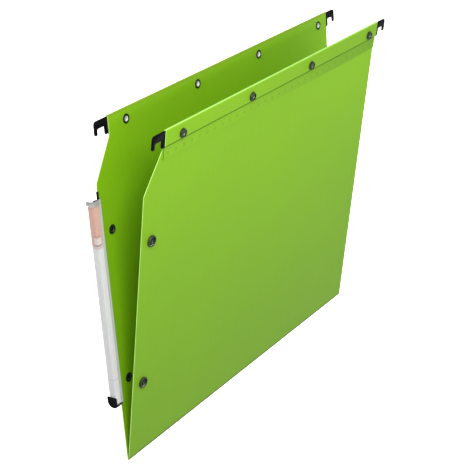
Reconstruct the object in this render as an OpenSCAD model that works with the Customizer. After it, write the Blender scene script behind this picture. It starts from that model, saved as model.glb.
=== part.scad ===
// Cabinet suspension file of polypropylene sheet, hung open in a V between two rails.
// X runs along the crease, towards the far rail. The front leaf leans towards -Y and the back
// leaf towards +Y. The origin lies midway between the four hook seats, at rail height, +Z up.

/* [Leaves] */
// Height of a leaf from the crease to the top of its hem
leaf_h = 275; // [255:1:300]
// Lean of each leaf from upright
half_angle = 5.15; // [4:0.05:9]
// Thickness of the sheet
sheet_t = 0.6; // [0.5:0.1:0.8]
// How far the leaf reaches past the hem at the near side
near_overhang = 20.5; // [18:0.5:30]
// Where the near corner is cut back to the hem, below the top
corner_top_drop = 14.4; // [13:0.1:18]
// Where that cut meets the near edge, below the top
corner_low_drop = 45.7; // [35:0.1:60]
// Radius of the rounded crease
crease_r = 0.8; // [0.7:0.1:1.2]
// Distance of each inner face from the plane through the crease
face_offset = 0.2; // [0.15:0.05:0.4]

/* [Hems] */
// Height of the tunnel that holds the hanger bar
tunnel_h = 14; // [13.8:0.1:18]
// Room between the two sheets of the tunnel
tunnel_gap = 1; // [1:0.1:1.6]
// Height of the strip that welds the hem shut
weld_h = 9.5; // [6:0.5:14]
// Height over which the outer sheet slopes down to the weld
slope_h = 1.5; // [1.2:0.1:1.6]

/* [Hanger bars] */
// Height of the flat bar
bar_h = 10.8; // [9.5:0.1:10.8]
// Thickness of the flat bar
bar_t = 0.8; // [0.6:0.1:0.9]
// Distance from the top of the hem to the top of the bar
bar_drop = 1.6; // [1.4:0.1:1.6]
// Height of the neck of the bar's end
bar_neck_h = 4; // [3:0.5:5]
// Length of the neck of the bar's end
bar_neck_l = 2.4; // [1.5:0.1:2.8]
// Height of the head of the bar's end
bar_head_h = 7.6; // [6:0.1:8.4]
// Length of the head of the bar's end
bar_head_l = 3; // [2:0.1:3.4]

/* [Hooks] */
// Distance between the middles of the two rails
rail_spacing = 330; // [320:1:345]
// Width of the slot that takes the rail
slot_w = 8.3; // [6:0.1:9]
// Distance from the top of the hem down to the seat
seat_drop = 7; // [6:0.1:8]
// Distance from the top of the hem down to the top of the hook
hook_top_drop = 0.8; // [0.4:0.1:1.5]
// Width of the leg beside the hem
inner_leg_w = 3.7; // [3:0.1:5]
// Distance from the top of the hem down to the foot of that leg
inner_leg_drop = 13.6; // [13.4:0.1:15]
// Width of the free leg
outer_leg_w = 3.2; // [2.5:0.1:5]
// Distance from the top of the hem down to the foot of the free leg
outer_leg_drop = 11.6; // [10:0.1:13]
// Thickness of the hook
hook_t = 1.2; // [1:0.1:1.6]
// Radius of the hook's upper outer corner
hook_corner_r = 2.8; // [1:0.1:3.2]
// Radius of the slot's upper outer corner
slot_corner_r = 1.4; // [0.5:0.1:1.8]
// Radius of the legs' outer lower corners
leg_corner_r = 1.2; // [0.5:0.1:1.4]
// Reach of the hook's tongue inside the hem
tongue_l = 8.5; // [7.6:0.1:9]

/* [Press stud places] */
// Height of the top row below the top of the hem
top_row_drop = 8.7; // [8:0.1:9]
// First stud of the top row from the near end of the hem
near_stud_inset = 20.5; // [16:0.5:30]
// Second stud from the first
second_stud_step = 92.3; // [60:0.1:100]
// Third stud from the second
third_stud_step = 89; // [60:1:100]
// Last stud from the far end of the hem
far_stud_inset = 14.2; // [12.8:0.1:20]
// Side studs from the near edge of the leaf
side_stud_inset = 11.8; // [10:0.1:20]
// Height of the lower side stud above the crease
side_stud_low = 67; // [50:1:90]
// Distance between the two side studs
side_stud_step = 123; // [80:1:130]

/* [Press stud sizes] */
// Bore of the eyelets
eyelet_bore_r = 2; // [1.8:0.05:2.1]
// Wall of the eyelets
eyelet_wall = 0.25; // [0.15:0.05:0.3]
// Radius of the eyelet's flange
eyelet_flange_r = 3.8; // [3.4:0.05:4.2]
// Thickness of the eyelet's flange
eyelet_flange_t = 0.3; // [0.2:0.05:0.4]
// How far the eyelet's end is rolled outwards
eyelet_roll = 0.2; // [0.1:0.02:0.22]
// Height of the rolled end
eyelet_roll_h = 0.45; // [0.3:0.05:0.5]
// Radius of the stud's base
stud_base_r = 3.75; // [3.6:0.05:4.4]
// Thickness of the stud's base
stud_base_t = 0.4; // [0.3:0.05:0.5]
// Radius of the stud's neck
stud_neck_r = 2.9; // [2.85:0.05:2.95]
// Radius of the stud's head
stud_head_r = 3.35; // [3.2:0.05:3.5]
// Height of the stud's neck above its base
stud_neck_h = 0.6; // [0.5:0.05:0.8]
// Length of the round wall of the stud's head
stud_head_h = 0.5; // [0.4:0.05:0.6]
// Slope above and below that wall
stud_slope_h = 0.15; // [0.1:0.05:0.2]
// Thickness of the web that closes a side stud
stud_web_t = 0.25; // [0.15:0.05:0.3]
// Radius of the socket
socket_r = 4.5; // [4.4:0.05:5.2]
// Height of the socket
socket_h = 1.8; // [1.7:0.05:2.2]
// Thickness of the socket's base
socket_base_t = 0.3; // [0.25:0.05:0.4]
// Length of the socket's mouth
socket_mouth_h = 0.4; // [0.3:0.05:0.45]
// Wall of the socket
socket_wall = 0.5; // [0.4:0.05:0.55]
// Radius of the spring wires
wire_r = 0.22; // [0.18:0.01:0.24]
// Distance from the middle of the socket to a wire
wire_offset = 3.1; // [3.05:0.05:3.25]

/* [Label holder] */
// Height of the holder's foot above the crease
label_foot_z = 50.6; // [30:0.1:60]
// Length of the clear tube
tube_l = 164.5; // [120:0.5:168]
// Width of the tube's side face, along the leaf
tube_side_w = 8.3; // [7:0.1:12]
// Width of the tube's end face, across the leaf
tube_end_w = 7.4; // [6.4:0.1:10]
// Wall of the tube
tube_wall = 0.5; // [0.3:0.05:0.6]
// Radius of the rod beside the leaf's edge
rod_r = 0.95; // [0.8:0.05:1.1]
// Distance of the rod's middle in front of the leaf's middle
rod_front = 1; // [0.6:0.1:1.4]
// How far the rod stands above the tube
rod_stub = 6.5; // [3:0.5:10]
// Wall of the tube's clip round the rod
clip_wall = 0.4; // [0.3:0.05:0.5]
// Width of the flange welded behind the leaf
flange_w = 6.5; // [4:0.5:7.5]
// Thickness of that flange
flange_t = 0.5; // [0.4:0.05:0.55]
// Thickness of the foot's floor at its deepest
foot_floor_t = 2.2; // [1.6:0.1:2.8]
// Height of the foot's end plate
foot_plate_h = 8.9; // [7:0.1:12]
// Thickness of the foot's end plate
foot_wall = 0.8; // [0.6:0.1:1.2]
// Radius of the foot's rounded underside
foot_r = 5.2; // [4.6:0.1:6]
// Reach of the stop above the tube, towards the tube's ridge
stop_reach = 6.2; // [4:0.1:6.4]
// Thickness of that stop
stop_t = 0.6; // [0.5:0.1:1.5]
// Height of the tube's two faces above its clip, which hides the stop behind them
stop_notch = 1.4; // [1:0.1:2]
// Thickness of the card
card_t = 0.3; // [0.2:0.05:0.4]
// Distance of the card's top below the top of the tube
card_top_drop = 2.8; // [1:0.1:10]

/* [Hidden] */
$fn = 48;
BACK = 1;
FRONT = -1;

leaf_green = "#8cc63f";
hook_black = "#161616";
stud_black = "#2b2e2b";
bar_grey = "#b9bcc0";
wire_grey = "#cfd2d6";
tube_clear = [0.9, 0.92, 0.94, 0.5];
card_white = "#f2efe9";

// Clearances between pieces that fit together
crease_fit = 0.06;
hole_fit = 0.05;
bar_hole_fit = 0.12;
joint_fit = 0.1;
hem_end_fit = 0.15;
mouth_fit = 0.15;
edge_fit = 0.2;
rod_fit = 0.05;
card_fit = 0.1;
card_seat_fit = 0.3;
foot_fit = 0.1;

// Leaf outline
rail_x = rail_spacing / 2;
hem_half = rail_x - slot_w / 2 - inner_leg_w - hem_end_fit;
near_edge = -hem_half - near_overhang;
far_edge = hem_half;
sheet_out = face_offset + sheet_t;

// Hem section
hem_out = sheet_out + tunnel_gap + sheet_t;
fold_r = (hem_out - face_offset) / 2;
fold_z = leaf_h - fold_r;
fold_y = face_offset + fold_r;
weld_top = leaf_h - tunnel_h;
weld_low = weld_top - weld_h;
mid_y = sheet_out + tunnel_gap / 2;

// Hanger bar
bar_top = leaf_h - bar_drop;
bar_low = bar_top - bar_h;
bar_mid = (bar_top + bar_low) / 2;
bar_half = hem_half - tongue_l - joint_fit;

// Hooks
seat_z = leaf_h - seat_drop;
hook_top = leaf_h - hook_top_drop;
slot_in = rail_x - slot_w / 2;
slot_out = rail_x + slot_w / 2;
inner_leg_low = leaf_h - inner_leg_drop;
outer_leg_low = leaf_h - outer_leg_drop;

// The crease hangs this far below the origin, so that the seats lie at rail height
crease_z = -(seat_z * cos(half_angle) - mid_y * sin(half_angle));

// Press studs
top_row_z = leaf_h - top_row_drop;
second_stud_x = -hem_half + near_stud_inset + second_stud_step;
top_row_x = [-hem_half + near_stud_inset, second_stud_x, second_stud_x + third_stud_step,
             hem_half - far_stud_inset];
top_row = [for (x = top_row_x) [x, top_row_z]];
side_x = near_edge + side_stud_inset;
side_row = [for (i = [0, 1]) [side_x, side_stud_low + i * side_stud_step]];
barrel_r = eyelet_bore_r + eyelet_wall;
barrel_hole_r = barrel_r + hole_fit;
roll_r = barrel_r + eyelet_roll;
stud_cavity_r = roll_r + hole_fit;
mouth_r = stud_head_r + mouth_fit;
wire_half = sqrt(pow(socket_r - socket_wall - hole_fit, 2) - pow(wire_offset + wire_r, 2)) - wire_r;
wire_z = socket_h - socket_mouth_h - wire_r - hole_fit;

// Label holder, in the back leaf's own frame
leaf_mid_y = face_offset + sheet_t / 2;
rod_x = near_edge - edge_fit - rod_r;
rod_y = leaf_mid_y - rod_front;
clip_r = rod_r + rod_fit + clip_wall;
tube_in_x = rod_x + rod_r / 2;
tube_out_x = tube_in_x - tube_side_w;
tube_front_y = rod_y - clip_r - tube_wall;
tube_back_y = tube_front_y + tube_end_w;
tube_low = label_foot_z + foot_floor_t;
tube_top = tube_low + tube_l;
clip_mid_y = rod_y + clip_r - clip_wall / 2;
back_slope = (clip_mid_y - tube_back_y) / (rod_x - tube_out_x);
foot_out_x = tube_out_x - foot_fit - foot_wall;
foot_front_y = tube_front_y - foot_fit - foot_wall;
foot_back_y = tube_back_y + foot_wall / 2;
stop_z = tube_top + foot_fit;
card_ridge_x = tube_out_x + tube_wall + card_fit;
card_ridge_y = tube_front_y + tube_wall + card_fit;
card_low = tube_low + card_seat_fit;
card_top = tube_top - card_top_drop;

// Height of the tube's sloping back at x, less what inset takes
function tube_back(x, inset) =
    tube_back_y + back_slope * (x - tube_out_x) - inset * sqrt(1 + back_slope * back_slope);

// Places children, drawn with X along the crease, Y outwards and Z up the leaf, on a leaf
module on_leaf(side) {
    translate([0, 0, crease_z]) {
        if (side == FRONT)
            mirror([0, 1, 0]) rotate([-half_angle, 0, 0]) children();
        else
            rotate([-half_angle, 0, 0]) children();
    }
}

// Extrudes a section of the leaf, drawn outwards and up, from x0 to x1
module along_x(x0, x1) {
    translate([x0, 0, 0]) rotate([90, 0, 90]) linear_extrude(x1 - x0) children();
}

// Extrudes an outline of the leaf, drawn along and up, from y0 outwards to y1
module along_y(y0, y1) {
    translate([0, y1, 0]) rotate([90, 0, 0]) linear_extrude(y1 - y0) children();
}

// Revolves a section, drawn as radius and height, about an outward axis at each place
module at_places(places, y) {
    for (p = places)
        translate([p[0], y, p[1]]) rotate([-90, 0, 0]) children();
}

// What is cut away to round a corner of radius r, whose tip is the origin and whose sides run
// along sx and sy
module corner_cut(r, sx, sy) {
    flip_x = sx < 0 ? 1 : 0;
    flip_y = sy < 0 ? 1 : 0;
    mirror([flip_x, 0]) mirror([0, flip_y]) difference() {
        translate([-r, -r]) square(2 * r);
        translate([r, r]) circle(r);
    }
}

module sheet_outline() {
    polygon([
        [near_edge, 0],
        [far_edge, 0],
        [far_edge, fold_z],
        [-hem_half, fold_z],
        [-hem_half, leaf_h - corner_top_drop],
        [near_edge, leaf_h - corner_low_drop]
    ]);
}

// Hem seen along the crease: the fold over the bar, the outer sheet, its slope and the weld
module hem_section() {
    translate([face_offset, weld_low]) square([sheet_t, fold_z - weld_low]);
    difference() {
        translate([fold_y, fold_z]) circle(fold_r);
        translate([fold_y, fold_z]) circle(tunnel_gap / 2);
        translate([fold_y - 2 * fold_r, fold_z - 2 * fold_r]) square([4 * fold_r, 2 * fold_r]);
    }
    translate([hem_out - sheet_t, weld_top + slope_h]) square([sheet_t, fold_z - weld_top - slope_h]);
    polygon([
        [hem_out - sheet_t, weld_top + slope_h],
        [hem_out, weld_top + slope_h],
        [sheet_out + sheet_t, weld_top],
        [sheet_out, weld_top]
    ]);
    translate([sheet_out, weld_low]) square([sheet_t, weld_h]);
}

module leaf_panel(side) {
    on_leaf(side) difference() {
        union() {
            along_y(face_offset, sheet_out) sheet_outline();
            along_x(-hem_half, hem_half) hem_section();
        }
        along_x(near_edge - 1, far_edge + 1) circle(side == FRONT ? crease_r + crease_fit : crease_r);
        at_places(concat(top_row, side_row), -1) cylinder(r = barrel_hole_r, h = hem_out + 2);
    }
}

module back_panel() {
    color(leaf_green) leaf_panel(BACK);
}

module front_panel() {
    color(leaf_green) leaf_panel(FRONT);
}

module bottom_fold() {
    color(leaf_green) translate([0, 0, crease_z]) along_x(near_edge, far_edge) circle(crease_r);
}

// Flat bar whose ends are T-shaped heads, with a hole for every stud of the top row
module hanger_bar(side) {
    neck_end = bar_half + bar_neck_l;
    on_leaf(side) difference() {
        along_y(mid_y - bar_t / 2, mid_y + bar_t / 2) {
            translate([-bar_half, bar_low]) square([2 * bar_half, bar_h]);
            translate([-neck_end, bar_mid - bar_neck_h / 2]) square([2 * neck_end, bar_neck_h]);
            for (x = [-neck_end - bar_head_l, neck_end])
                translate([x, bar_mid - bar_head_h / 2]) square([bar_head_l, bar_head_h]);
        }
        at_places(top_row, -1) cylinder(r = barrel_r + bar_hole_fit, h = hem_out + 2);
    }
}

module back_bar() {
    color(bar_grey) hanger_bar(BACK);
}

module front_bar() {
    color(bar_grey) hanger_bar(FRONT);
}

// Hook seen from the side: two legs under a bridge, with the rail's slot between them
module hook_outline() {
    difference() {
        union() {
            translate([hem_half + hem_end_fit, inner_leg_low])
                square([inner_leg_w, hook_top - inner_leg_low]);
            translate([slot_in, seat_z]) square([slot_w + outer_leg_w, hook_top - seat_z]);
            translate([slot_out, outer_leg_low]) square([outer_leg_w, hook_top - outer_leg_low]);
            translate([slot_out, seat_z]) rotate(180) corner_cut(slot_corner_r, 1, 1);
        }
        translate([slot_out + outer_leg_w, hook_top]) corner_cut(hook_corner_r, -1, -1);
        translate([slot_out + outer_leg_w, outer_leg_low]) corner_cut(leg_corner_r, -1, 1);
        translate([slot_in, inner_leg_low]) corner_cut(leg_corner_r, -1, 1);
    }
}

// Tongue that lies in the tunnel and closes round the T-shaped end of the bar
module tongue_outline() {
    neck_end = bar_half + bar_neck_l;
    difference() {
        translate([hem_half - tongue_l, bar_low])
            square([tongue_l + hem_end_fit + inner_leg_w / 2, bar_h]);
        translate([bar_half - 1, bar_mid - bar_neck_h / 2 - joint_fit])
            square([bar_neck_l + 2, bar_neck_h + 2 * joint_fit]);
        translate([neck_end - joint_fit, bar_mid - bar_head_h / 2 - joint_fit])
            square([bar_head_l + 2 * joint_fit, bar_head_h + 2 * joint_fit]);
    }
}

module hook_at_far_end() {
    along_y(mid_y - hook_t / 2, mid_y + hook_t / 2) hook_outline();
    along_y(mid_y - bar_t / 2, mid_y + bar_t / 2) tongue_outline();
}

module far_hook(side) {
    color(hook_black) on_leaf(side) hook_at_far_end();
}

module near_hook(side) {
    color(hook_black) on_leaf(side) mirror([1, 0, 0]) hook_at_far_end();
}

module back_hook_near() {
    near_hook(BACK);
}

module back_hook_far() {
    far_hook(BACK);
}

module front_hook_near() {
    near_hook(FRONT);
}

module front_hook_far() {
    far_hook(FRONT);
}

// Eyelet, from a flange on the inner face through the grip to a rolled end past the base of its
// stud or socket
module eyelet(grip) {
    rotate_extrude() polygon([
        [eyelet_bore_r, -eyelet_flange_t],
        [eyelet_flange_r - eyelet_flange_t / 2, -eyelet_flange_t],
        [eyelet_flange_r, -eyelet_flange_t / 2],
        [eyelet_flange_r, 0],
        [barrel_r, 0],
        [barrel_r, grip],
        [roll_r, grip + eyelet_roll_h],
        [roll_r - eyelet_wall, grip + eyelet_roll_h],
        [eyelet_bore_r, grip]
    ]);
}

module eyelets(side, places, grip) {
    color(stud_black) on_leaf(side) at_places(places, face_offset) eyelet(grip);
}

module back_top_eyelets() {
    eyelets(BACK, top_row, hem_out - face_offset + socket_base_t);
}

module front_top_eyelets() {
    eyelets(FRONT, top_row, hem_out - face_offset + stud_base_t);
}

module back_side_eyelets() {
    eyelets(BACK, side_row, sheet_t + stud_base_t);
}

module front_side_eyelets() {
    eyelets(FRONT, side_row, sheet_t + socket_base_t);
}

// Hollow stud with a necked head. A closed one has a web between the room for its own eyelet
// and the room for the eyelet of the socket that it is pressed into
module ring_stud(closed) {
    head_low = stud_base_t + stud_neck_h + stud_slope_h;
    head_top = head_low + stud_head_h;
    crown = head_top + stud_slope_h;
    web_low = stud_base_t + eyelet_roll_h + hole_fit;
    rotate_extrude() difference() {
        polygon([
            [0, 0],
            [stud_base_r, 0],
            [stud_base_r, stud_base_t - stud_slope_h],
            [stud_base_r - stud_slope_h, stud_base_t],
            [stud_neck_r, stud_base_t],
            [stud_neck_r, head_low - stud_slope_h],
            [stud_head_r, head_low],
            [stud_head_r, head_top],
            [stud_neck_r, crown],
            [0, crown]
        ]);
        square([barrel_hole_r, stud_base_t]);
        translate([0, stud_base_t]) square([stud_cavity_r, (closed ? web_low : crown) - stud_base_t]);
        translate([0, web_low + stud_web_t]) square([stud_cavity_r, crown]);
    }
}

module front_top_studs() {
    color(stud_black) on_leaf(FRONT) at_places(top_row, hem_out) ring_stud(false);
}

module back_side_studs() {
    color(stud_black) on_leaf(BACK) at_places(side_row, sheet_out) ring_stud(true);
}

// Socket with a base plate, a room for the wires and a round mouth for the head of a stud
module ring_socket() {
    room_r = socket_r - socket_wall;
    mouth_low = socket_h - socket_mouth_h;
    rotate_extrude() difference() {
        polygon([
            [0, 0],
            [socket_r - stud_slope_h, 0],
            [socket_r, stud_slope_h],
            [socket_r, socket_h - 2 * stud_slope_h],
            [socket_r - 2 * stud_slope_h, socket_h],
            [0, socket_h]
        ]);
        square([barrel_hole_r, socket_h]);
        translate([0, socket_base_t]) square([room_r, mouth_low - socket_base_t]);
        translate([0, socket_base_t]) square([mouth_r, socket_h]);
    }
}

// Two spring wires across the socket's room
module socket_wires() {
    for (y = [-wire_offset, wire_offset])
        translate([0, y, wire_z]) rotate([0, 90, 0])
            cylinder(r = wire_r, h = 2 * wire_half, center = true);
}

module back_top_sockets() {
    color(stud_black) on_leaf(BACK) at_places(top_row, hem_out) ring_socket();
}

module back_top_springs() {
    color(wire_grey) on_leaf(BACK) at_places(top_row, hem_out) socket_wires();
}

module front_side_sockets() {
    color(stud_black) on_leaf(FRONT) at_places(side_row, sheet_out) ring_socket();
}

module front_side_springs() {
    color(wire_grey) on_leaf(FRONT) at_places(side_row, sheet_out) socket_wires();
}

// Round bar along the label holder, about the rod's own axis
module rod_bar(r, low, top) {
    translate([rod_x, rod_y, low]) cylinder(r = r, h = top - low);
}

// Outline of the foot seen from the end of the file: upright sides over a round underside
module foot_outline(top) {
    round_z = label_foot_z + foot_r;
    intersection() {
        union() {
            translate([foot_back_y - foot_r, round_z]) circle(foot_r);
            translate([foot_back_y - 2 * foot_r, round_z]) square([2 * foot_r, foot_plate_h]);
        }
        translate([foot_front_y, label_foot_z]) square([2 * foot_r, top - label_foot_z]);
    }
}

// Floor under the tube, narrowing to the rod, and the plate that covers the tube's end face
module foot() {
    rod_side_x = rod_x + rod_r;
    along_x(foot_out_x, tube_out_x - foot_fit) foot_outline(label_foot_z + foot_plate_h);
    intersection() {
        along_x(foot_out_x, rod_side_x) foot_outline(tube_low);
        translate([0, 0, label_foot_z]) linear_extrude(foot_floor_t) polygon([
            [foot_out_x, foot_front_y],
            [tube_out_x, foot_front_y],
            [rod_side_x, rod_y - rod_r],
            [rod_side_x, rod_y + rod_r],
            [tube_out_x, foot_back_y],
            [foot_out_x, foot_back_y]
        ]);
    }
}

// Three-cornered plate above the tube that keeps it on the rod, clear of the card's way out
module tube_stop() {
    front_y = card_ridge_y + card_t + card_seat_fit;
    translate([0, 0, stop_z]) linear_extrude(stop_t) polygon([
        [rod_x, front_y],
        [rod_x - stop_reach, front_y],
        [rod_x - stop_reach / 2, tube_back(rod_x - stop_reach / 2, tube_wall)],
        [rod_x, rod_y + rod_r]
    ]);
}

// Rod beside the leaf's near edge, the flange welded behind the leaf, the foot and the stop
module label_carrier() {
    rod_low = label_foot_z + foot_floor_t / 2;
    web_x = tube_in_x + rod_fit;
    color(hook_black) on_leaf(BACK) {
        rod_bar(rod_r, rod_low, stop_z + rod_stub);
        translate([web_x, rod_y, tube_low])
            cube([rod_x + rod_r - web_x, sheet_out + flange_t - rod_y, tube_l]);
        translate([web_x, sheet_out, tube_low]) cube([near_edge + flange_w - web_x, flange_t, tube_l]);
        foot();
        tube_stop();
    }
}

// Tube with two faces that meet at a ridge, a sloping back, and a clip for the rod
module label_tube() {
    hollow_x = tube_out_x + tube_wall;
    hollow_y = tube_front_y + tube_wall;
    fill_x = rod_x - rod_r;
    color(tube_clear) on_leaf(BACK) difference() {
        union() {
            translate([0, 0, tube_low]) linear_extrude(tube_l + stop_notch) polygon([
                [rod_x + clip_r, tube_front_y],
                [tube_out_x, tube_front_y],
                [tube_out_x, tube_back_y],
                [rod_x, clip_mid_y],
                [rod_x + clip_r, rod_y]
            ]);
            rod_bar(clip_r, tube_low, tube_top);
        }
        difference() {
            translate([0, 0, tube_low - 1]) linear_extrude(tube_l + stop_notch + 2) polygon([
                [fill_x, hollow_y],
                [hollow_x, hollow_y],
                [hollow_x, tube_back(hollow_x, tube_wall)],
                [fill_x, tube_back(fill_x, tube_wall)]
            ]);
            rod_bar(clip_r, tube_low - 2, tube_top + 2);
        }
        rod_bar(rod_r + rod_fit, tube_low - 1, tube_top + 1);
        translate([tube_in_x, tube_front_y - 1, tube_low - 1])
            cube([2 * clip_r, tube_end_w, tube_l + stop_notch + 2]);
        translate([hollow_x, hollow_y, tube_top]) cube([tube_side_w, tube_end_w, stop_notch + 1]);
    }
}

// Card folded lengthwise, lying behind the tube's two faces
module label_card() {
    side_end_x = rod_x - clip_r - card_fit;
    end_x = card_ridge_x + card_t;
    end_back_y = tube_back(end_x, tube_wall) - card_fit;
    color(card_white) on_leaf(BACK) translate([0, 0, card_low]) linear_extrude(card_top - card_low) polygon([
        [side_end_x, card_ridge_y],
        [card_ridge_x, card_ridge_y],
        [card_ridge_x, end_back_y],
        [end_x, end_back_y],
        [end_x, card_ridge_y + card_t],
        [side_end_x, card_ridge_y + card_t]
    ]);
}

back_panel();
front_panel();
bottom_fold();
back_bar();
front_bar();
back_hook_near();
back_hook_far();
front_hook_near();
front_hook_far();
back_top_eyelets();
back_top_sockets();
back_top_springs();
back_side_eyelets();
back_side_studs();
front_top_eyelets();
front_top_studs();
front_side_eyelets();
front_side_sockets();
front_side_springs();
label_carrier();
label_tube();
label_card();
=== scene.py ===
import math

import bmesh
import bpy
from mathutils import Matrix, Vector


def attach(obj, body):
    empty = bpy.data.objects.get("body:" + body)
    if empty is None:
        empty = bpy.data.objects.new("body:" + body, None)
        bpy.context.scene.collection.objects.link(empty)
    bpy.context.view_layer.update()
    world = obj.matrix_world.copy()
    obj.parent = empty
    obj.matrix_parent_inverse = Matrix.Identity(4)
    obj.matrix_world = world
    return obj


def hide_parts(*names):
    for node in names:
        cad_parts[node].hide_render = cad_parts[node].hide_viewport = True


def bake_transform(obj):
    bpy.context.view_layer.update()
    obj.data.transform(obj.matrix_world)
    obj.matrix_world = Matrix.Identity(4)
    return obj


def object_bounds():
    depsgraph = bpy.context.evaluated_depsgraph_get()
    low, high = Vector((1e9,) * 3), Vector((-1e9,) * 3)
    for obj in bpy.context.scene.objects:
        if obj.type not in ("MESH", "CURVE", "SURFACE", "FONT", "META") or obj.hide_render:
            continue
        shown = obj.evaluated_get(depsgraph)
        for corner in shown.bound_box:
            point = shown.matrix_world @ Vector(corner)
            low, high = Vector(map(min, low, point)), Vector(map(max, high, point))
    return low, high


# Suspension file of green polypropylene, hung open, built round the CAD frame.
# Sizes in the dictionaries are millimetres unless a name says otherwise; the scene is in metres.
mm = 0.001
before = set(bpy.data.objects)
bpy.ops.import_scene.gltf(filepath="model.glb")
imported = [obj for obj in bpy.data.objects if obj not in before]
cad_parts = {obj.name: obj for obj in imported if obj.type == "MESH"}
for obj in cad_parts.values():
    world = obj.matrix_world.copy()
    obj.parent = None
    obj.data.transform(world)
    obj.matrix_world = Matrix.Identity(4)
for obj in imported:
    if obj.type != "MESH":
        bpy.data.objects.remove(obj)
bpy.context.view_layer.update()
print("frame loaded:", len(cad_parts), "nodes")

folder = {
    "halfAngle": 5.15,        # lean of each leaf from upright, degrees
    "creaseHeight": -266.8014,
    "nearEdge": -177.5,
    "farEdge": 157.0,
    "hemNear": -157.0,
    "innerFace": 0.2,         # inner face of a leaf from the plane through the crease
    "sheet": 0.6,
}
back, front = 1, -1


# A leaf's own place: X along the crease, Y outwards from the pocket, Z up the slope
def leafPlace(side):
    lean = Matrix.Rotation(math.radians(-folder["halfAngle"]), 4, "X")
    rise = Matrix.Translation((0, 0, folder["creaseHeight"]))
    flip = Matrix.Diagonal((1, side, 1, 1))
    return Matrix.Scale(mm, 4) @ flip @ rise @ lean


# Shader maths: a Signal is one output socket, and expressions on it add Math nodes
class Signal:
    def __init__(self, tree, socket=None):
        self.tree = tree
        self.socket = socket

    def node(self, kind, settings, inputs, output=0):
        made = self.tree.nodes.new(kind)
        for name, value in settings.items():
            if name == "stops":
                self.fillRamp(made.color_ramp, value)
            else:
                setattr(made, name, value)
        for name, value in inputs.items():
            if isinstance(value, Signal):
                self.tree.links.new(value.socket, made.inputs[name])
            else:
                made.inputs[name].default_value = value
        return Signal(self.tree, made.outputs[output])

    def fillRamp(self, ramp, stops):
        while len(ramp.elements) < len(stops):
            ramp.elements.new(0.5)
        for element, (position, color) in zip(ramp.elements, stops):
            element.position = position
            element.color = color

    def math(self, operation, *values):
        return self.node("ShaderNodeMath", {"operation": operation}, dict(enumerate(values)))

    def __add__(self, other):
        return self.math("ADD", self, other)

    def __sub__(self, other):
        return self.math("SUBTRACT", self, other)

    def __rsub__(self, other):
        return self.math("SUBTRACT", other, self)

    def __mul__(self, other):
        return self.math("MULTIPLY", self, other)

    def __lt__(self, other):
        return self.math("LESS_THAN", self, other)

    def __gt__(self, other):
        return self.math("GREATER_THAN", self, other)

    def __mod__(self, other):
        return self.math("FLOORED_MODULO", self, other)

    def __rmod__(self, other):
        return self.math("FLOORED_MODULO", other, self)

    def __abs__(self):
        return self.math("ABSOLUTE", self)

    __radd__ = __add__
    __rmul__ = __mul__

    def within(self, low, high):
        return (self > low) * (self < high)

    # Mix node by socket number: 0 is its factor, 6 and 7 are its two colours
    def mix(self, first, second):
        keys = {0: self, 6: first, 7: second}
        return self.node("ShaderNodeMix", {"data_type": "RGBA", "clamp_factor": True}, keys, 2)

    def noise(self, place, scale, detail, rough=0.5):
        keys = {"Vector": place, "Scale": scale, "Detail": detail, "Roughness": rough}
        return self.node("ShaderNodeTexNoise", {}, keys)

    def ramp(self, stops):
        gray = [(position, (value, value, value, 1)) for position, value in stops]
        return self.node("ShaderNodeValToRGB", {"stops": gray}, {0: self})

    def split(self, place):
        made = self.node("ShaderNodeSeparateXYZ", {}, {0: place})
        outs = made.socket.node.outputs
        return [Signal(self.tree, outs[index]) for index in range(3)]

    def bump(self, height, distance):
        keys = {"Height": height, "Distance": distance, "Strength": 1.0}
        return self.node("ShaderNodeBump", {}, keys)


# A new material: its constants go straight on the Principled shader, its varying inputs are links
def newMaterial(name, constants):
    made = bpy.data.materials.new(name)
    made.use_nodes = True
    tree = made.node_tree
    shader = tree.nodes["Principled BSDF"]
    for key, value in constants.items():
        shader.inputs[key].default_value = value
    return made, Signal(tree), shader


def wire(shader, links):
    for name, signal in links.items():
        signal.tree.links.new(signal.socket, shader.inputs[name])


def objectPlace(base):
    return base.node("ShaderNodeTexCoord", {}, {}, 3)


leafLook = {
    "green": (0.262, 0.560, 0.010, 1),
    "deepGreen": (0.218, 0.482, 0.005, 1),
    "rise": 2.2,              # painted light: how fast the tone pales, per metre up the sheet, brighter towards the top where the light falls
    "rub": (0.36, 0.66, 0.10, 1),
    "foldHighlight": (0.52, 0.95, 0.22, 1),
    "lipShade": (0.25, 0.316, 0.03, 1),
    "printAndShadeDark": (0.060, 0.190, 0.005, 1),
    "shade": (0.085, 0.200, 0.010, 1),
    "footShade": (0.115, 0.140, 0.045, 1),
    "roughness": 0.50,
    "grain": 2400.0,          # per metre
    "grainDepth": 0.00002,    # metres
    "cutHighlightGreen": (0.62, 0.98, 0.26, 1),
    "paintedEdgeGlow": 0.22,         # painted glow on the cut edges, standing in for light piped through the sheet
    # bands up the sheet and along it round the fold, in metres
    "footBand": 0.0015,
    "lipShadeBand": (0.27320, 0.27480),
    "foldHighlightBand": (0.27480, 0.27590),
    "hemBand": (0.2759, 0.2880),
    "weldFrom": 0.2880,
    "weldStepShade": (0.28800, 0.28970),
    "weldBand": (0.2897, 0.3010),
    "tickBand": (0.2912, 0.2926),
    "dotBand": (0.2938, 0.2964),
}
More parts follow.
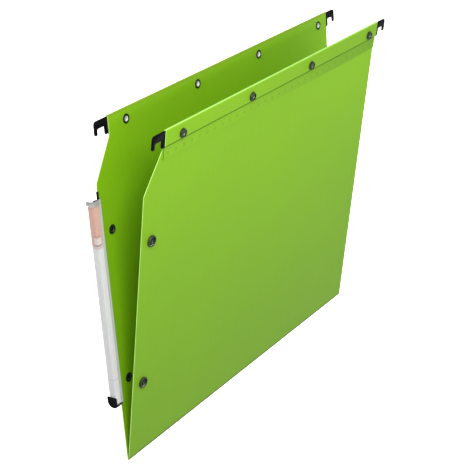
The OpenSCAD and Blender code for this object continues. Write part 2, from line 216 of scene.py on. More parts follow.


# Sheet: fine frosted grain, faint streaks from the extruder, the hem's scale marks, and painted
# light and shade
def makeLeafMaterial():
    made, base, shader = newMaterial("leafGreen", {"IOR": 1.49, "Specular IOR Level": 0.22})
    place = base.node("ShaderNodeAttribute", {"attribute_name": "sheetPlace"}, {}, 1)
    x, up = base.split(place)[:2]
    broad = base.noise(place, 9.0, 2.0)
    stretched = base.node("ShaderNodeMapping", {}, {"Vector": place, "Scale": (60.0, 1.0, 1.0)})
    streak = base.noise(stretched, 6.0, 3.0)
    grain = base.noise(place, leafLook["grain"], 2.0, 0.6)
    spread = [(0.3, 0.0), (0.7, 1.0)]
    # tone: random broad and streaked variation, plus painted light that grows up the sheet
    tone = broad.ramp(spread) * 0.28 + streak.ramp(spread) * 0.12 + up * leafLook["rise"]
    color = tone.mix(leafLook["deepGreen"], leafLook["green"])
    # scale along the weld strip: a short mark every 5 mm and a dot every 10 mm
    fine = abs(x % 0.005 - 0.0025) > 0.0022
    coarse = abs((x + 0.002) % 0.010 - 0.005) > 0.0037
    ticks = fine * up.within(*leafLook["tickBand"])
    dots = coarse * up.within(*leafLook["dotBand"])
    marks = ticks * 0.30 + dots * 0.24
    color = marks.mix(color, leafLook["printAndShadeDark"])
    # painted shade just inside the hem's fold, a painted highlight over it, and painted shade, on
    # a rougher surface, on the step where the weld begins
    color = (up.within(*leafLook["lipShadeBand"]) * 0.55).mix(color, leafLook["lipShade"])
    color = (up.within(*leafLook["foldHighlightBand"]) * 0.75).mix(color, leafLook["foldHighlight"])
    weldStepShade = up.within(*leafLook["weldStepShade"]) * 0.90
    color = weldStepShade.mix(color, leafLook["printAndShadeDark"])
    # the hem and its welded strip sink into shade towards the far end
    far = ((x + 0.06) * 4.6).ramp([(0.0, 0.0), (1.0, 1.0)])
    sunk = up.within(*leafLook["hemBand"]) * 0.24 + up.within(*leafLook["weldBand"]) * 0.46
    shade = far * sunk
    color = shade.mix(color, leafLook["shade"])
    color = ((up < leafLook["footBand"]) * 0.7).mix(color, leafLook["footShade"])
    scuff = base.noise(place, 55.0, 6.0, 0.7).ramp([(0.62, 0.0), (0.78, 1.0)])
    color = (scuff * 0.10).mix(color, leafLook["rub"])
    roughness = leafLook["roughness"] + (grain - 0.5) * 0.10 + (broad - 0.5) * 0.08 - scuff * 0.05
    roughness = roughness + weldStepShade * 0.4
    height = grain * 0.7 + base.noise(place, 700.0, 2.0) * 0.3 - marks * 4.0
    normal = base.bump(height, leafLook["grainDepth"])
    wire(shader, {"Base Color": color, "Roughness": roughness, "Normal": normal})
    return made


# Die-cut edge of the sheet: a painted highlight, paler than the sheet and with a painted glow,
# with the fine lines the knife leaves
def makeCutMaterial():
    made, base, shader = newMaterial("leafCutEdge", {
        "IOR": 1.49, "Specular IOR Level": 0.3, "Emission Strength": leafLook["paintedEdgeGlow"],
    })
    place = base.node("ShaderNodeAttribute", {"attribute_name": "sheetPlace"}, {}, 1)
    lines = base.noise(place, 1800.0, 3.0)
    color = lines.mix(leafLook["cutHighlightGreen"], (0.50, 0.86, 0.16, 1))
    # the welded strip's cut faces are painted dark, as shade, and lose the painted glow
    welded = base.split(place)[1] > leafLook["weldFrom"]
    color = (welded * 0.9).mix(color, leafLook["printAndShadeDark"])
    glow = welded.mix(leafLook["cutHighlightGreen"], (0, 0, 0, 1))
    wire(shader, {"Base Color": color, "Roughness": lines * 0.2 + 0.35, "Emission Color": glow,
                  "Normal": base.bump(lines, 0.00002)})
    return made


# Moulded black plastic: matt, faintly mottled, greyer where it rubs
def makeMouldedMaterial(name, color, roughness, grain, depth):
    made, base, shader = newMaterial(name, {"IOR": 1.5, "Specular IOR Level": 0.035})
    place = objectPlace(base)
    fine = base.noise(place, grain, 3.0)
    broad = base.noise(place, 90.0, 3.0)
    pale = tuple(value * 1.6 + 0.001 for value in color[:3]) + (1,)
    tone = broad.ramp([(0.45, 0.0), (0.8, 1.0)]).mix(color, pale)
    rough = roughness + (fine - 0.5) * 0.16 + (broad - 0.5) * 0.12
    wire(shader, {"Base Color": tone, "Roughness": rough, "Normal": base.bump(fine, depth)})
    return made


# Metal, bare or enamelled, with fine scratches
def makeMetalMaterial(name, color, dark, metallic, roughness, scale, specular=0.5):
    made, base, shader = newMaterial(name, {
        "Metallic": metallic, "IOR": 1.5, "Specular IOR Level": specular,
    })
    place = objectPlace(base)
    broad = base.noise(place, scale * 0.15, 3.0)
    fine = base.noise(place, scale, 4.0, 0.65)
    tone = broad.ramp([(0.3, 0.0), (0.75, 1.0)]).mix(dark, color)
    rough = roughness + (fine - 0.5) * 0.2 + (broad - 0.5) * 0.1
    wire(shader, {"Base Color": tone, "Roughness": rough, "Normal": base.bump(fine, 0.00001)})
    return made


tubeLook = {
    "clipX": -180.3,          # the clip round the rod is milky from here on
    "sawnFrom": -52.9,        # and the sawn end is hazy above here
    # painted grey shade for the tube's edges seen edge on and for its sawn end
    "rim": (0.44, 0.41, 0.41, 1),
    # how much each thing adds to the tube's opacity
    "haze": 0.06,
    "streakHaze": 0.06,
    "edgeHaze": 0.24,
    "clipHaze": 0.60,
    "sawnHaze": 0.55,
}


# Clear extrusion: thin haze, streaks along its length, denser where it is seen edge on, and
# painted grey shade there and on its sawn end
def makeClearMaterial():
    made, base, shader = newMaterial("tubeClear", {"IOR": 1.47})
    place = objectPlace(base)
    along = base.node("ShaderNodeMapping", {}, {"Vector": place, "Scale": (1.0, 1.0, 0.02)})
    streak = base.noise(along, 900.0, 3.0)
    edge = base.node("ShaderNodeLayerWeight", {}, {"Blend": 0.35}, 1)
    x, _, z = base.split(place)
    clip = x > tubeLook["clipX"] * mm
    sawn = z > tubeLook["sawnFrom"] * mm
    alpha = (tubeLook["haze"] + streak * tubeLook["streakHaze"] + edge * tubeLook["edgeHaze"]
             + clip * tubeLook["clipHaze"] + sawn * tubeLook["sawnHaze"])
    color = streak.mix((0.86, 0.86, 0.87, 1), (0.97, 0.97, 0.97, 1))
    color = (edge * 0.8 + sawn * 0.5).mix(color, tubeLook["rim"])
    wire(shader, {"Base Color": color, "Roughness": 0.10 + streak * 0.12, "Alpha": alpha,
                  "Normal": base.bump(streak, 0.00003)})
    return made


cardLook = {
    "paper": (0.93, 0.93, 0.94, 1),
    "peach": (0.86, 0.45, 0.335, 1),
    "white": (0.93, 0.78, 0.74, 1),
    "strip": (0.86, 0.64, 0.58, 1),
    "line": (0.30, 0.20, 0.18, 1),
    "mark": (0.42, 0.44, 0.55, 1),
    "glow": 0.12,             # painted glow, added as emission, standing in for light that comes through the paper
    # bands above the crease, in metres
    "headFrom": 0.1833,
    "stripBand": (0.1808, 0.1833),
    "box": (0.1845, 0.1895),
    "boxFoot": (0.1833, 0.1845),
    "boxTop": (0.1904, 0.1915),
    "rule": (0.1818, 0.1825),
    "lowMark": (0.0733, 0.0742),
    # how far the box reaches outwards from the pocket and along the crease, in metres
    "boxOut": 0.0014,
    "boxEnd": -0.1816,
}


# Index card: a plain peach head, a pale ruled box to write in, thin rules, paper fibre and a
# painted glow
def makeCardMaterial():
    made, base, shader = newMaterial("cardPrint", {
        "IOR": 1.45, "Emission Strength": cardLook["glow"],
    })
    place = objectPlace(base)
    turned = base.node("ShaderNodeMapping", {}, {
        "Vector": place, "Location": (0, 0, -folder["creaseHeight"] * mm),
    })
    x, y, z = base.split(turned)
    fibre = base.noise(place, 1500.0, 4.0, 0.6)
    cloud = base.noise(place, 60.0, 3.0)
    dimmer = tuple(value * 0.96 for value in cardLook["paper"][:3]) + (1,)
    paper = cloud.mix(cardLook["paper"], dimmer)
    color = (z > cardLook["headFrom"]).mix(paper, cardLook["peach"])
    color = (z.within(*cardLook["stripBand"]) * 0.8).mix(color, cardLook["strip"])
    # the box and its rules stop short of both ends of the card's section
    lean = math.radians(folder["halfAngle"])
    outwards = y * math.cos(lean) - z * math.sin(lean)
    across = (outwards < cardLook["boxOut"]) * (x < cardLook["boxEnd"])
    color = (z.within(*cardLook["box"]) * across).mix(color, cardLook["white"])
    rules = z.within(*cardLook["boxFoot"]) * 0.85 + z.within(*cardLook["boxTop"]) * 0.5
    color = (rules * across).mix(color, cardLook["line"])
    color = (z.within(*cardLook["rule"]) * 0.3).mix(color, cardLook["line"])
    color = (z.within(*cardLook["lowMark"]) * 0.4).mix(color, cardLook["mark"])
    wire(shader, {"Base Color": color, "Roughness": 0.62 + (fibre - 0.5) * 0.2,
                  "Emission Color": color, "Normal": base.bump(fibre, 0.00002)})
    return made


leafGreen = makeLeafMaterial()
leafCut = makeCutMaterial()
# name, colour, roughness, grains per metre, depth of the grain in metres
hookBlack = makeMouldedMaterial(
    "hookNylon", (0.0065, 0.0050, 0.0080, 1), 0.42, 2600.0, 0.00002)
carrierBlack = makeMouldedMaterial(
    "carrierPlastic", (0.010, 0.010, 0.011, 1), 0.30, 1800.0, 0.00001)
# name, colour, darker colour, metallic, roughness, scratches per metre, specular
enamelBlack = makeMetalMaterial(
    "studEnamel", (0.030, 0.034, 0.028, 1), (0.012, 0.014, 0.011, 1), 0.0, 0.30, 1500.0, 0.25)
studGray = makeMetalMaterial(
    "studGunmetal", (0.075, 0.100, 0.055, 1), (0.030, 0.044, 0.022, 1), 0.3, 0.34, 1500.0, 0.25)
# Three copies of the eyelets' bare bore metal: the first is a painted reflection of the green
# pocket, darker as in shade; the second is painted shade; the third is painted bright, as if lit
# through the hole
boreGreenReflection = makeMetalMaterial(
    "eyeletBoreGreenReflection", (0.36, 0.42, 0.33, 1), (0.22, 0.27, 0.20, 1), 0.7, 0.36, 1500.0)
boreShade = makeMetalMaterial(
    "eyeletShade", (0.11, 0.13, 0.105, 1), (0.055, 0.068, 0.052, 1), 0.7, 0.40, 1500.0)
boreLit = makeMetalMaterial(
    "eyeletBore", (0.96, 0.97, 0.95, 1), (0.88, 0.90, 0.88, 1), 0.35, 0.30, 1500.0)
springSteel = makeMetalMaterial(
    "springWire", (0.92, 0.93, 0.92, 1), (0.80, 0.81, 0.80, 1), 0.6, 0.26, 2500.0)
barSteel = makeMetalMaterial(
    "barSteel", (0.66, 0.67, 0.69, 1), (0.50, 0.51, 0.53, 1), 1.0, 0.34, 900.0)
tubeClear = makeClearMaterial()
cardPrint = makeCardMaterial()
print("materials made")


# Closed loop of edges through corners (a, b, radius), drawn in the plane of X and Z
def roundedLoop(bm, corners, segments=5):
    points = [bm.verts.new((a, 0, b)) for a, b, radius in corners]
    bm.faces.new(points)
    count = len(corners)
    for index, (a, b, radius) in enumerate(corners):
        if radius <= 0:
            continue
        here = Vector((a, b))
        before = Vector(corners[index - 1][:2]) - here
        after = Vector(corners[(index + 1) % count][:2]) - here
        reach = radius / math.tan(before.angle(after) / 2)
        bmesh.ops.bevel(bm, geom=[points[index]], affect="VERTICES", offset=reach,
                        segments=segments, profile=0.5, material=-1)


def smoothByAngle(bm, degrees):
    limit = math.radians(degrees)
    for face in bm.faces:
        face.smooth = True
    for edge in bm.edges:
        if len(edge.link_faces) != 2 or edge.calc_face_angle(0) > limit:
            edge.smooth = False


# Turns a bmesh into a piece of the scene, with its place in its mesh
def finishPiece(name, bm, place, materials, nodes, body, smooth):
    bmesh.ops.transform(bm, matrix=place, verts=bm.verts)
    bmesh.ops.recalc_face_normals(bm, faces=bm.faces)
    smoothByAngle(bm, smooth)
    mesh = bpy.data.meshes.new(name)
    bm.to_mesh(mesh)
    bm.free()
    for material in materials:
        mesh.materials.append(material)
    piece = bpy.data.objects.new(name, mesh)
    bpy.context.scene.collection.objects.link(piece)
    if body:
        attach(piece, body)
    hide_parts(*nodes)
    return piece


def mergeInto(target, source):
    scratch = bpy.data.meshes.new("scratch")
    source.to_mesh(scratch)
    source.free()
    target.from_mesh(scratch)
    bpy.data.meshes.remove(scratch)


leafSheet = {
    "foot": 0.03,                 # the leaf starts just off the crease's axis
    "foldMiddle": (1.3, 273.9),   # outwards, up
    "foldRadius": 0.8,            # of the sheet's middle
    "foldSteps": 12,
    "flapOut": 2.1,
    "slopeTop": 262.5,
    "slopeFoot": 261.0,
    "weldOut": 1.12,
    "weldFoot": 251.5,
    "cutTop": 260.6,              # the near corner is cut back between these heights
    "cutFoot": 229.3,
    "cutRound": 4.0,
    "holeRadius": 2.3,
    "topStuds": (-136.5, -44.2, 44.8, 142.8),
    "topStudHeight": 266.3,
    "sideStud": -165.7,
    "sideStudHeights": (67.0, 190.0),
}


# Middle line of a leaf seen from its end, as (outwards, up), from the crease over the hem
def sheetLine():
    middle = folder["innerFace"] + folder["sheet"] / 2
    foldOut, foldUp = leafSheet["foldMiddle"]
    points = [(middle, 0.0), (middle, 200.0), (middle, foldUp)]
    for step in range(1, leafSheet["foldSteps"] + 1):
        turn = math.pi * step / leafSheet["foldSteps"]
        points.append((foldOut - leafSheet["foldRadius"] * math.cos(turn),
                       foldUp + leafSheet["foldRadius"] * math.sin(turn)))
    points += [(leafSheet["flapOut"], leafSheet["slopeTop"]),
               (leafSheet["weldOut"], leafSheet["slopeFoot"]),
               (leafSheet["weldOut"], leafSheet["weldFoot"])]
    return [Vector(point) for point in points]


# Distance along that line of each of its points
def lineLengths(points):
    lengths = [0.0]
    for first, second in zip(points, points[1:]):
        lengths.append(lengths[-1] + (second - first).length)
    return lengths


# Mitred direction outwards from the pocket at each point of the line
def lineMitres(points):
    normals = []
    for first, second in zip(points, points[1:]):
        step = (second - first).normalized()
        normals.append(Vector((step.y, -step.x)))
    mitres = []
    for index in range(len(points)):
        before = normals[max(index - 1, 0)]
        after = normals[min(index, len(normals) - 1)]
        joined = (before + after).normalized()
        mitres.append(joined / joined.dot(after))
    return mitres


# One leaf: a flat blank with its holes, given its thickness, then folded over at the hem
def makeLeaf(name, side, node, body):
    points = sheetLine()
    lengths = lineLengths(points)
    mitres = lineMitres(points)
    foldEnd = lengths[2 + leafSheet["foldSteps"]]
    near, far, hemNear = folder["nearEdge"], folder["farEdge"], folder["hemNear"]
    bm = bmesh.new()
    roundedLoop(bm, [
        (near, leafSheet["foot"], 0), (far, leafSheet["foot"], 0),
        (far, lengths[-1], 0), (hemNear, lengths[-1], 0),
        (hemNear, leafSheet["cutTop"], 1.0), (near, leafSheet["cutFoot"], leafSheet["cutRound"]),
    ])
    bmesh.ops.delete(bm, geom=bm.faces[:], context="FACES_ONLY")
    flapHole = foldEnd + leafSheet["foldMiddle"][1] - leafSheet["topStudHeight"]
    holes = [(x, height) for x in leafSheet["topStuds"]
             for height in (leafSheet["topStudHeight"], flapHole)]
    holes += [(leafSheet["sideStud"], height) for height in leafSheet["sideStudHeights"]]
    upright = Matrix.Rotation(math.pi / 2, 4, "X")
    for x, height in holes:
        bmesh.ops.create_circle(bm, cap_ends=False, segments=40, radius=leafSheet["holeRadius"],
                                matrix=Matrix.Translation((x, 0, height)) @ upright)
    bmesh.ops.triangle_fill(bm, use_beauty=True, use_dissolve=False, edges=bm.edges[:])
    for cut in lengths[1:-1]:
        bmesh.ops.bisect_plane(bm, geom=bm.verts[:] + bm.edges[:] + bm.faces[:], dist=0.0001,
                               plane_co=(0, 0, cut), plane_no=(0, 0, 1))
    for face in bm.faces:
        if face.normal.y < 0:
            face.normal_flip()
    bmesh.ops.translate(bm, vec=(0, folder["sheet"] / 2, 0), verts=bm.verts)
    bmesh.ops.solidify(bm, geom=bm.faces[:], thickness=folder["sheet"])
    place = bm.verts.layers.float_vector.new("sheetPlace")
    bm.normal_update()
    for face in bm.faces:
        face.material_index = 0 if abs(face.normal.y) > 0.7 else 1
    for vert in bm.verts:
        x, out, along = vert.co
        vert[place] = (x * mm, along * mm, out * mm)
        index = max(i for i, length in enumerate(lengths[:-1]) if length <= along + 0.001)
        share = (along - lengths[index]) / (lengths[index + 1] - lengths[index])
        line = points[index].lerp(points[index + 1], share)
        if share < 0.001 or share > 0.999:
            push = mitres[index + round(share)]
        else:
            step = (points[index + 1] - points[index]).normalized()
            push = Vector((step.y, -step.x))
        spot = line + push * out
        vert.co = (x, spot.x, spot.y)
    finishPiece(name, bm, leafPlace(side), [leafGreen, leafCut], [node], body, 20)


makeLeaf("backLeaf", back, "back_panel", "back_leaf")
makeLeaf("frontLeaf", front, "front_panel", "front_leaf")


# The crease: a narrow strip of the same sheet, curved round from one leaf to the other
def makeCrease():
    inner, outer = folder["innerFace"], folder["innerFace"] + folder["sheet"]
    bm = bmesh.new()
    face = bm.faces.new([bm.verts.new(corner) for corner in (
        (folder["nearEdge"], inner, 0), (folder["nearEdge"], outer, 0),
        (folder["farEdge"], outer, 0), (folder["farEdge"], inner, 0),
    )])
    turn = math.pi - 2 * math.radians(folder["halfAngle"])
    bmesh.ops.spin(bm, geom=[face] + list(face.edges) + list(face.verts), cent=(0, 0, 0),
                   axis=(1, 0, 0), angle=-turn, steps=16, use_merge=False, use_duplicate=False)
    place = bm.verts.layers.float_vector.new("sheetPlace")
    bmesh.ops.recalc_face_normals(bm, faces=bm.faces)
    for face in bm.faces:
        face.material_index = 1 if abs(face.normal.x) > 0.7 else 0
    for vert in bm.verts:
        vert[place] = (vert.co.x * mm, vert.co.y * mm, vert.co.z * mm)
    piece = finishPiece("creaseStrip", bm, leafPlace(back), [leafGreen, leafCut],
                        ["bottom_fold"], None, 30)
    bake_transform(piece)


makeCrease()
print("leaves made")


hook = {
    "out": (0.7, 1.9),            # its two faces, outwards from the pocket
    "hemEnd": 157.15,
    "slotNear": 160.85,
    "slotFar": 169.15,
    "tip": 172.35,
    "top": 274.2,
    "seat": 268.0,
    "innerFoot": 261.4,
    "outerFoot": 263.4,
    "edgeRound": 0.22,
    "tongueOut": (0.9, 1.7),
    "tongueRoot": 1.8,            # how far it runs into the hook
    "tongueEnd": 148.5,
    "tongueLow": 262.6,
    "tongueTop": 273.4,
    "neck": 2.1,                  # half heights of the room for the bar's T-shaped end
    "head": 3.9,
    "neckEnd": 150.7,
    "headEnd": 153.9,
}


# Prism from a rounded outline in X and Z, between two distances outwards, with soft edges
def roundedPrism(corners, low, high, edgeRound):
    bm = bmesh.new()
    roundedLoop(bm, corners)
    made = bmesh.ops.extrude_face_region(bm, geom=bm.faces[:])
    moved = [item for item in made["geom"] if isinstance(item, bmesh.types.BMVert)]
    bmesh.ops.translate(bm, vec=(0, high - low, 0), verts=moved)
    bmesh.ops.translate(bm, vec=(0, low, 0), verts=bm.verts)
    bmesh.ops.recalc_face_normals(bm, faces=bm.faces)
    if edgeRound:
        limit = math.radians(60)
        sharp = [edge for edge in bm.edges if edge.is_manifold and edge.calc_face_angle() > limit]
        bmesh.ops.bevel(bm, geom=sharp, affect="EDGES", offset=edgeRound, segments=2,
                        profile=0.5, material=-1, clamp_overlap=True)
    return bm


def makeHook(name, side, end, node, body):
    bm = roundedPrism([
        (hook["hemEnd"], hook["innerFoot"], 0.4), (hook["slotNear"], hook["innerFoot"], 1.2),
        (hook["slotNear"], hook["seat"], 0.5), (hook["slotFar"], hook["seat"], 1.4),
        (hook["slotFar"], hook["outerFoot"], 0.5), (hook["tip"], hook["outerFoot"], 1.2),
        (hook["tip"], hook["top"], 2.8), (hook["hemEnd"], hook["top"], 0.4),
    ], *hook["out"], hook["edgeRound"])
    middle = (hook["tongueLow"] + hook["tongueTop"]) / 2
    inside = hook["hemEnd"] + hook["tongueRoot"]
    tongue = roundedPrism([
        (inside, hook["tongueLow"], 0), (inside, hook["tongueTop"], 0),
        (hook["tongueEnd"], hook["tongueTop"], 0.5), (hook["tongueEnd"], middle + hook["neck"], 0),
        (hook["neckEnd"], middle + hook["neck"], 0), (hook["neckEnd"], middle + hook["head"], 0),
        (hook["headEnd"], middle + hook["head"], 0), (hook["headEnd"], middle - hook["head"], 0),
        (hook["neckEnd"], middle - hook["head"], 0), (hook["neckEnd"], middle - hook["neck"], 0),
        (hook["tongueEnd"], middle - hook["neck"], 0), (hook["tongueEnd"], hook["tongueLow"], 0.5),
    ], *hook["tongueOut"], 0)
    mergeInto(bm, tongue)
    place = leafPlace(side) @ Matrix.Diagonal((end, 1, 1, 1))
    finishPiece(name, bm, place, [hookBlack], [node], body, 40)


for side, leaf in ((back, "back"), (front, "front")):
    for end, where in ((-1, "near"), (1, "far")):
        makeHook(f"{leaf}Hook{where.title()}", side, end, f"{leaf}_hook_{where}", f"{leaf}_leaf")
print("hooks made")


fastener = {
    "hemOut": 2.4,                # outer face of the hem
    "sheetOut": 0.8,              # outer face of a single sheet
    "ringSteps": 44,              # steps round a ring, and round each of its corners
    "roundSteps": 3,
    "eyeletBore": 2.0,
    "eyeletBarrel": 2.25,
    "eyeletFlange": 3.8,
    "eyeletRoll": 2.45,
    "eyeletWall": 0.25,
    "flangeThick": 0.3,
    "rollHeight": 0.45,
    "barrelGap": 0.05,
    "studBase": 3.75,
    "studNeck": 2.9,
    "studHead": 3.35,
    "studRoom": 2.5,
    "studBaseTop": 0.4,           # heights above the stud's foot
    "studNeckTop": 1.0,
    "studHeadFoot": 1.15,
    "studHeadTop": 1.65,
    "studCrown": 1.8,
    "studWebFoot": 0.9,           # the web that closes a side stud
    "studWebTop": 1.15,
    "socket": 4.5,
    "socketRoom": 4.0,
    "socketMouth": 3.5,
    "socketHeight": 1.8,
    "socketBase": 0.3,
    "mouthLength": 0.4,
    "wire": 0.22,
    "wireOffset": 3.1,
    "wireHeight": 1.13,
    "wireGap": 0.05,
}


# A ring turned about the outward axis from a section, at each place
def turnedRings(section, places, out):
    ring = bmesh.new()
    roundedLoop(ring, section, fastener["roundSteps"])
    bmesh.ops.delete(ring, geom=ring.faces[:], context="FACES_ONLY")
    bmesh.ops.spin(ring, geom=ring.verts[:] + ring.edges[:], cent=(0, 0, 0), axis=(0, 0, 1),
                   angle=2 * math.pi, steps=fastener["ringSteps"], use_merge=True,
                   use_duplicate=False)
    bmesh.ops.remove_doubles(ring, verts=ring.verts[:], dist=0.0005)
    bmesh.ops.recalc_face_normals(ring, faces=ring.faces)
    bm = bmesh.new()
    mesh = bpy.data.meshes.new("scratch")
    ring.to_mesh(mesh)
    ring.free()
    for x, up in places:
        before = len(bm.verts)
        bm.from_mesh(mesh)
        bm.verts.ensure_lookup_table()
        place = Matrix.Translation((x, out, up)) @ Matrix.Rotation(-math.pi / 2, 4, "X")
        bmesh.ops.transform(bm, matrix=place, verts=bm.verts[before:])
    bpy.data.meshes.remove(mesh)
    return bm


# Sections are lists of (radius, outwards, rounding)
def eyeletSection(grip):
    bore, barrel = fastener["eyeletBore"], fastener["eyeletBarrel"]
    flange, roll = fastener["eyeletFlange"], fastener["eyeletRoll"]
    foot, end = -fastener["flangeThick"], grip + fastener["rollHeight"]
    return [(bore, foot, 0.14), (flange - 0.1, foot, 0.12), (flange, 0, 0.02), (barrel, 0, 0),
            (barrel, grip, 0.1), (roll, end, 0.08), (roll - fastener["eyeletWall"], end, 0.08),
            (bore, grip, 0.1)]


def studSection(closed):
    base, neck, head = fastener["studBase"], fastener["studNeck"], fastener["studHead"]
    room, bore = fastener["studRoom"], fastener["eyeletBarrel"] + fastener["barrelGap"]
    baseTop, crown = fastener["studBaseTop"], fastener["studCrown"]
    webFoot, webTop = fastener["studWebFoot"], fastener["studWebTop"]
    outside = [(bore, 0, 0), (base, 0, 0.05), (base, baseTop, 0.16), (neck, baseTop, 0.12),
               (neck, fastener["studNeckTop"], 0.1), (head, fastener["studHeadFoot"], 0.2),
               (head, fastener["studHeadTop"], 0.22), (neck, crown, 0.2)]
    web = [(room, webTop, 0.05), (0, webTop, 0), (0, webFoot, 0), (room, webFoot, 0)]
    inside = [(room, baseTop, 0), (bore, baseTop, 0)]
    return outside + [(room, crown, 0.05)] + (web if closed else []) + inside


def socketSection():
    rim, room, mouth = fastener["socket"], fastener["socketRoom"], fastener["socketMouth"]
    bore, top = fastener["eyeletBarrel"] + fastener["barrelGap"], fastener["socketHeight"]
    base, mouthFoot = fastener["socketBase"], top - fastener["mouthLength"]
    return [(bore, 0, 0), (rim, 0, 0.15), (rim, top, 0.45), (mouth, top, 0.14),
            (mouth, mouthFoot, 0.06), (room, mouthFoot, 0), (room, base, 0.1), (bore, base, 0.04)]


def nearestPlace(face, places):
    middle = face.calc_center_median()
    return min(Vector((middle.x - x, middle.z - up)).length for x, up in places)


# Bare metal inside an eyelet's barrel and on its rolled end, in one of the painted lit, reflecting
# and shaded copies, and black enamel on its flange
def markBores(bm, places):
    for face in bm.faces:
        pastFlange = face.calc_center_median().y > folder["innerFace"] + 0.05
        bare = fastener["eyeletRoll"] if pastFlange else fastener["eyeletBore"]
        face.material_index = 1 if nearestPlace(face, places) < bare + 0.06 else 0


topPlaces = [(x, leafSheet["topStudHeight"]) for x in leafSheet["topStuds"]]
sidePlaces = [(leafSheet["sideStud"], up) for up in leafSheet["sideStudHeights"]]


def makeEyelets(name, side, places, grip, bore, node, body):
    bm = turnedRings(eyeletSection(grip), places, folder["innerFace"])
    markBores(bm, places)
    finishPiece(name, bm, leafPlace(side), [enamelBlack, bore], [node], body, 30)


def makeRings(name, side, section, places, out, inside, node, body):
    bm = turnedRings(section, places, out)
    for face in bm.faces:
        face.material_index = 1 if nearestPlace(face, places) < inside else 0
    enamel = enamelBlack if side == back else studGray
    finishPiece(name, bm, leafPlace(side), [enamel, enamelBlack], [node], body, 30)


# Two spring wires in each socket, as long as the socket's room lets them be
def makeSprings(name, side, places, out, node, body):
    bm = bmesh.new()
    offset, wireRadius = fastener["wireOffset"], fastener["wire"]
    reach = fastener["socketRoom"] - fastener["wireGap"]
    half = math.sqrt(reach ** 2 - (offset + wireRadius) ** 2) - wireRadius
    for x, up in places:
        for way in (-1, 1):
            place = (Matrix.Translation((x, out + fastener["wireHeight"], up + way * offset))
                     @ Matrix.Rotation(math.pi / 2, 4, "Y"))
            made = bmesh.ops.create_cone(bm, cap_ends=True, cap_tris=False, segments=12,
                                         radius1=wireRadius, radius2=wireRadius,
                                         depth=2 * half, matrix=place)
            ends = [edge for edge in bm.edges if edge.is_manifold
                    and edge.verts[0] in made["verts"] and edge.calc_face_angle() > 1.2]
            bmesh.ops.bevel(bm, geom=ends, affect="EDGES", offset=0.1, segments=2,
                            profile=0.5, material=-1)
    finishPiece(name, bm, leafPlace(side), [springSteel], [node], body, 40)


hemOut, sheetOut, sheet = fastener["hemOut"], fastener["sheetOut"], folder["sheet"]
mouth, room = fastener["socketMouth"] + 0.02, fastener["studRoom"] + 0.02
hem = hemOut - folder["innerFace"]
studFloor, socketFloor = fastener["studBaseTop"], fastener["socketBase"]
# bores: painted bright on the back top row as if lit through the hole, a painted green reflection
# on the front top row, painted shade on the side rows
makeEyelets("backTopEyelets", back, topPlaces, hem + socketFloor, boreLit,
            "back_top_eyelets", "back_leaf")
makeEyelets("frontTopEyelets", front, topPlaces, hem + studFloor, boreGreenReflection,
            "front_top_eyelets", "front_leaf")
makeEyelets("backSideEyelets", back, sidePlaces, sheet + studFloor, boreShade,
            "back_side_eyelets", "back_leaf")
makeEyelets("frontSideEyelets", front, sidePlaces, sheet + socketFloor, boreShade,
            "front_side_eyelets", "front_leaf")
makeRings("backTopSockets", back, socketSection(), topPlaces, hemOut, mouth,
          "back_top_sockets", "back_leaf")
makeRings("frontSideSockets", front, socketSection(), sidePlaces, sheetOut, mouth,
          "front_side_sockets", "front_leaf")
makeRings("frontTopStuds", front, studSection(False), topPlaces, hemOut, room,
          "front_top_studs", "front_leaf")
makeRings("backSideStuds", back, studSection(True), sidePlaces, sheetOut, room,
          "back_side_studs", "back_leaf")
makeSprings("backTopSprings", back, topPlaces, hemOut, "back_top_springs", "back_leaf")
makeSprings("frontSideSprings", front, sidePlaces, sheetOut, "front_side_springs", "front_leaf")
print("press studs made")


card = {
    "low": 53.1,
    "top": 214.5,
    "ridge": (-185.875, -1.8),    # along, outwards
    "sideEnd": -180.15,
    "endBack": 3.8,
    "thick": 0.3,
}


# The card: its folded section is drawn flat, then raised to stand along Z
def makeCard():
    ridgeX, ridgeOut = card["ridge"]
    thick = card["thick"]
    bm = roundedPrism([
        (card["sideEnd"], -ridgeOut, 0), (ridgeX, -ridgeOut, 0.4), (ridgeX, -card["endBack"], 0),
        (ridgeX + thick, -card["endBack"], 0), (ridgeX + thick, -ridgeOut - thick, 0.15),
        (card["sideEnd"], -ridgeOut - thick, 0),
    ], card["low"], card["top"], 0)
    bmesh.ops.transform(bm, matrix=Matrix.Rotation(math.pi / 2, 4, "X"), verts=bm.verts)
    finishPiece("labelCard", bm, leafPlace(back), [cardPrint], ["label_card"],
                "card", 40)


makeCard()


# A CAD node whose form is right keeps its mesh, with its own finish and, where a width in
# millimetres is given, softened edges
def finishNode(node, material, width):
    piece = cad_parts[node]
    piece.data.materials.clear()
    piece.data.materials.append(material)
    weld = piece.modifiers.new("weld", "WELD")
    weld.merge_threshold = 0.000002
    if width:
        soft = piece.modifiers.new("soft", "BEVEL")
        soft.width = width * mm
        soft.segments = 2
        soft.limit_method = "ANGLE"
        soft.angle_limit = math.radians(50)


finishNode("label_carrier", carrierBlack, 0.12)
finishNode("label_tube", tubeClear, 0)
finishNode("back_bar", barSteel, 0)
finishNode("front_bar", barSteel, 0)
print("label holder and bars finished")


stage = {
    "floorDrop": 0.36,            # metres below the file
    "floorSize": 30.0,
    "floorMiddle": (2.0, 2.0),
    "floorTone": (0.93, 0.93, 0.93, 1),
    "worldStrength": 0.13,
    "backdropGlow": 0.62,         # what makes the floor and the sky look paler than they are lit
}


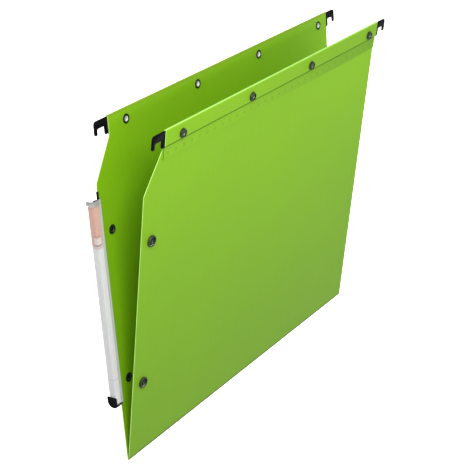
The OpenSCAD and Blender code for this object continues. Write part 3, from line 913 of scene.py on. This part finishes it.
def makeStage():
    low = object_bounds()[0].z - stage["floorDrop"]
    bm = bmesh.new()
    bmesh.ops.create_grid(bm, x_segments=8, y_segments=8, size=stage["floorSize"],
                          matrix=Matrix.Translation((*stage["floorMiddle"], low)))
    mesh = bpy.data.meshes.new("floor")
    bm.to_mesh(mesh)
    bm.free()
    made, base, shader = newMaterial("floorPale", {
        "Roughness": 0.9, "Emission Strength": stage["backdropGlow"],
    })
    tone = base.noise(objectPlace(base), 1.2, 2.0)
    # the glow is only seen, and throws no light on the file
    seen = base.node("ShaderNodeLightPath", {}, {})
    wire(shader, {"Base Color": tone.mix(stage["floorTone"], (0.95, 0.95, 0.95, 1)),
                  "Emission Color": seen.mix((0, 0, 0, 1), (1, 1, 1, 1))})
    mesh.materials.append(made)
    floor = bpy.data.objects.new("floor", mesh)
    bpy.context.scene.collection.objects.link(floor)
    world = bpy.data.worlds.new("studio")
    world.use_nodes = True
    sky = world.node_tree.nodes["Background"]
    sky.inputs["Color"].default_value = (1, 1, 1, 1)
    skyBase = Signal(world.node_tree)
    seen = skyBase.node("ShaderNodeLightPath", {}, {})
    wire(sky, {"Strength": seen * stage["backdropGlow"] + stage["worldStrength"]})
    bpy.context.scene.world = world


# name, place, target, size in metres, power in watts, spread in degrees
lamps = (
    ("key", (-0.62, -0.55, 0.72), (0, 0, -0.05), (0.6, 0.6), 10.4, 180),
    ("side", (-0.70, -0.16, 0.70), (-0.1, 0, -0.05), (0.4, 0.4), 2.0, 180),
    ("front", (0.0, -0.28, 0.0), (0, -0.02, -0.02), (0.9, 0.12), 0.50, 180),
    ("far", (0.45, -0.30, 0.10), (0.10, 0.0, -0.02), (0.3, 0.3), 0.55, 180),
    ("sweep", (1.25, 0.85, 0.9), (1.25, 0.85, -0.6), (1.4, 1.4), 29.0, 110),
)


def addLight(name, place, target, size, power, spread):
    lamp = bpy.data.lights.new(name, "AREA")
    lamp.shape = "RECTANGLE"
    lamp.size, lamp.size_y = size
    lamp.energy = power
    lamp.spread = math.radians(spread)
    made = bpy.data.objects.new(name, lamp)
    made.visible_camera = False
    made.location = place
    made.rotation_mode = "QUATERNION"
    made.rotation_quaternion = (Vector(target) - Vector(place)).to_track_quat("-Z", "Y")
    bpy.context.scene.collection.objects.link(made)


camera = {
    "place": (-0.898865, -0.565285, 0.360220),
    "azimuth": -57.055,
    "elevation": 25.366,
    "roll": 0.371,
    "lens": 107.423,              # millimetres on a 36 mm sensor
}


def makeCamera():
    azimuth, elevation, roll = (
        math.radians(camera[key]) for key in ("azimuth", "elevation", "roll"))
    behind = Vector((math.sin(azimuth) * math.cos(elevation),
                     -math.cos(azimuth) * math.cos(elevation), math.sin(elevation)))
    right = Vector((math.cos(azimuth), math.sin(azimuth), 0))
    up = behind.cross(right)
    tiltedRight = right * math.cos(roll) + up * math.sin(roll)
    tiltedUp = up * math.cos(roll) - right * math.sin(roll)
    turned = Matrix((tiltedRight, tiltedUp, behind)).transposed()
    lens = bpy.data.cameras.new("camera")
    lens.lens = camera["lens"]
    lens.sensor_width = 36.0
    lens.clip_start = 0.01
    lens.clip_end = 50.0
    made = bpy.data.objects.new("camera", lens)
    made.rotation_mode = "QUATERNION"
    made.rotation_quaternion = turned.to_quaternion()
    made.location = camera["place"]
    bpy.context.scene.collection.objects.link(made)
    bpy.context.scene.camera = made


makeStage()
for name, place, target, size, power, spread in lamps:
    addLight(name, place, target, size, power, spread)
makeCamera()
bpy.context.scene.view_settings.view_transform = "Standard"
print("stage, light and camera set")
